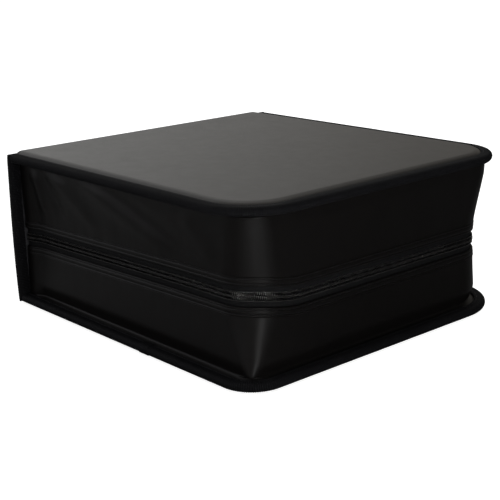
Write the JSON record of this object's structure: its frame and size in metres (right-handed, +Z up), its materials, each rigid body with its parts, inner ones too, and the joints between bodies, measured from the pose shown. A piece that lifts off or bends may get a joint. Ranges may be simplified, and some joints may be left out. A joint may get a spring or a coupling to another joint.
{
  "type": "cd storage case",
  "caption": "Zipped book-style case for discs: bound front and back covers, a spine, a waisted gusset with a coil zip round three sides, and sleeve pages inside.",
  "frame": {"origin": "centre of the bounding box in plan, on the plane the case lies on", "axes": "+X from the spine to the fore edge, +Y along the spine, +Z up from the back cover to the front cover; the case is closed and zipped"},
  "size_m": [0.325, 0.305, 0.14],
  "materials": {
    "cover_pu": "fine-grained black imitation leather, satin",
    "gusset_pu": "smooth black imitation leather, semi-gloss",
    "board": "grey board",
    "lining": "matt black woven lining",
    "binding_tape": "ribbed grosgrain, dark blue-grey",
    "zip_tape": "woven, matt",
    "zip_coil": "black nylon coil, glossy",
    "slider_metal": "black enamel",
    "sleeves": "clear film over white non-woven sleeves",
    "binder_plastic": "black, matt",
    "post_metal": "bare, satin"
  },
  "bodies": {
    "base": {"back_cover_skin": "cover_pu", "back_cover_board": "board", "back_cover_lining": "lining", "back_cover_binding": "binding_tape", "lower_gusset": "gusset_pu", "zip_tape_lower": "zip_tape", "zip_coil_lower": "zip_coil", "zip_chain_end": "zip_coil", "page_block": "sleeves", "binder_base_strip": "binder_plastic", "binder_clamp_strip": "binder_plastic", "binder_post_1": "post_metal", "binder_post_2": "post_metal", "binder_post_3": "post_metal"},
    "spine": {"spine_skin": "cover_pu", "spine_board": "board", "spine_lining": "lining", "spine_binding_near": "binding_tape", "spine_binding_far": "binding_tape"},
    "lid": {"front_cover_skin": "cover_pu", "front_cover_board": "board", "front_cover_lining": "lining", "front_cover_binding": "binding_tape", "upper_gusset": "gusset_pu", "zip_tape_upper": "zip_tape", "zip_coil_upper": "zip_coil"},
    "slider": {"zip_slider": "slider_metal"},
    "pull": {"zip_pull": "slider_metal"}
  },
  "joints": [
    {"name": "spine_fold", "type": "hinge", "parent": "base", "child": "spine", "pos_m": [-0.1573, 0, 0.0052], "axis": [0, -1, 0], "range_deg": [0, 90]},
    {"name": "cover_fold", "type": "hinge", "parent": "spine", "child": "lid", "pos_m": [-0.1573, 0, 0.1348], "axis": [0, -1, 0], "range_deg": [0, 90]},
    {"name": "zip_slide", "type": "slide", "parent": "base", "child": "slider", "axis": [1, 0, 0], "range_m": [0, 0.24], "deforming": ["zip_coil_upper", "zip_coil_lower", "zip_chain_end"]},
    {"name": "pull_swing", "type": "hinge", "parent": "slider", "child": "pull", "pos_m": [-0.146, 0.13975, 0.0625], "axis": [0, 0, 1], "range_deg": [0, 110]}
  ]
}
